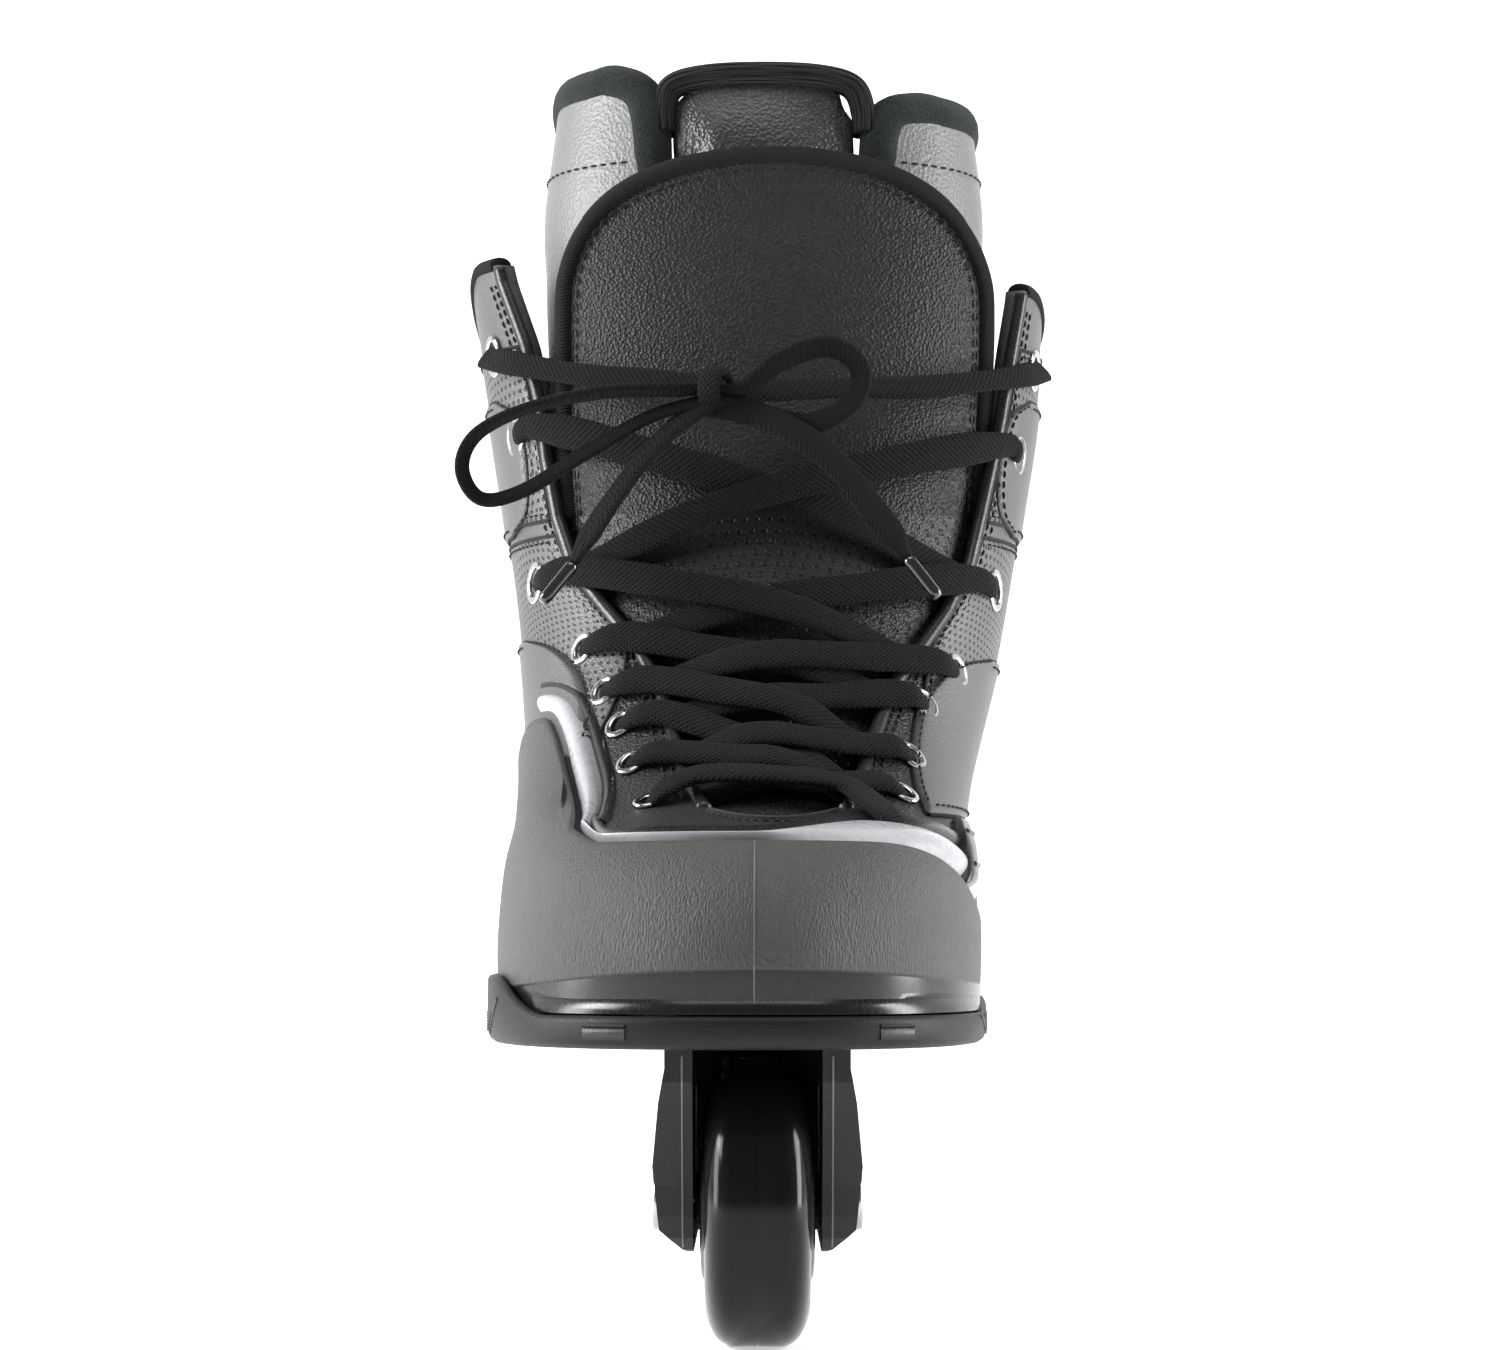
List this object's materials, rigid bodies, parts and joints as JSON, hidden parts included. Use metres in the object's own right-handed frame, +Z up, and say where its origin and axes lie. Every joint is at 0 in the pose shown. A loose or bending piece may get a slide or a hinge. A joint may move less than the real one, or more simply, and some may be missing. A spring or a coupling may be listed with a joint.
{
  "type": "inline skate",
  "caption": "Street inline skate for the right foot: laced leather boot with liner in a moulded shell, soul plate, and nylon frame with wheels in one row.",
  "frame": {"origin": "on the ground under the middle of the skate, in the wheels' plane", "axes": "+Z up, -Y to the toe, -X to the outer side of the foot"},
  "size_m": [0.1438, 0.304, 0.3011],
  "materials": {
    "frame": "matt moulded nylon",
    "shell": "satin moulded plastic",
    "plate": "satin moulded plastic",
    "stripe": "smooth",
    "boot_leather": "soft grain",
    "tongue_leather": "soft grain",
    "liner_fabric": "velour",
    "lace_cotton": "woven",
    "aglet": "gloss",
    "foam": "felt",
    "urethane": "gloss urethane",
    "wheel_core": "satin",
    "bearing_steel": "polished",
    "bolt_steel": "satin"
  },
  "bodies": {
    "boot": {"frame": "frame", "shell": "shell", "soul_plate": "plate", "shell_stripe": "stripe", "boot_upper": "boot_leather", "tongue": "tongue_leather", "liner_sole": "liner_fabric", "liner_toe": "liner_fabric", "liner_instep": "liner_fabric", "liner_heel": "liner_fabric", "liner_ankle": "liner_fabric", "liner_cuff": "liner_fabric", "liner_tongue": "liner_fabric", "lace_rows": "lace_cotton", "lace_bow": "lace_cotton", "aglet_lateral": "aglet", "aglet_medial": "aglet", "footbed": "foam", "heel_shock_pad": "foam", "bearing_1_left_inner": "bearing_steel", "bearing_1_right_inner": "bearing_steel", "bearing_2_left_inner": "bearing_steel", "bearing_2_right_inner": "bearing_steel", "bearing_3_left_inner": "bearing_steel", "bearing_3_right_inner": "bearing_steel", "bearing_4_left_inner": "bearing_steel", "bearing_4_right_inner": "bearing_steel", "spacer_1": "bearing_steel", "spacer_2": "bearing_steel", "spacer_3": "bearing_steel", "spacer_4": "bearing_steel", "axle_1": "bolt_steel", "axle_2": "bolt_steel", "axle_3": "bolt_steel", "axle_4": "bolt_steel", "axle_nut_1": "bolt_steel", "axle_nut_2": "bolt_steel", "axle_nut_3": "bolt_steel", "axle_nut_4": "bolt_steel", "frame_bolt_front": "bolt_steel", "frame_bolt_rear": "bolt_steel", "frame_nut_front": "bolt_steel", "frame_nut_rear": "bolt_steel"},
    "tongue_top": {"tongue_flap": "tongue_leather"},
    "wheel_1": {"wheel_1_tyre": "urethane", "wheel_1_core": "wheel_core", "bearing_1_left_outer": "bearing_steel", "bearing_1_right_outer": "bearing_steel"},
    "wheel_2": {"wheel_2_tyre": "urethane", "wheel_2_core": "wheel_core", "bearing_2_left_outer": "bearing_steel", "bearing_2_right_outer": "bearing_steel"},
    "wheel_3": {"wheel_3_tyre": "urethane", "wheel_3_core": "wheel_core", "bearing_3_left_outer": "bearing_steel", "bearing_3_right_outer": "bearing_steel"},
    "wheel_4": {"wheel_4_tyre": "urethane", "wheel_4_core": "wheel_core", "bearing_4_left_outer": "bearing_steel", "bearing_4_right_outer": "bearing_steel"}
  },
  "joints": [
    {"name": "wheel_1_spin", "type": "hinge", "parent": "boot", "child": "wheel_1", "pos_m": [0, -0.114, 0.03], "axis": [1, 0, 0], "continuous": true},
    {"name": "wheel_2_spin", "type": "hinge", "parent": "boot", "child": "wheel_2", "pos_m": [0, -0.048, 0.03], "axis": [1, 0, 0], "continuous": true},
    {"name": "wheel_3_spin", "type": "hinge", "parent": "boot", "child": "wheel_3", "pos_m": [0, 0.048, 0.03], "axis": [1, 0, 0], "continuous": true},
    {"name": "wheel_4_spin", "type": "hinge", "parent": "boot", "child": "wheel_4", "pos_m": [0, 0.114, 0.03], "axis": [1, 0, 0], "continuous": true},
    {"name": "tongue_fold", "type": "hinge", "parent": "boot", "child": "tongue_top", "pos_m": [0, -0.0045, 0.23635], "axis": [1, 0, 0], "range_deg": [0, 25], "stiffness_Nm_per_rad": 0.3}
  ]
}
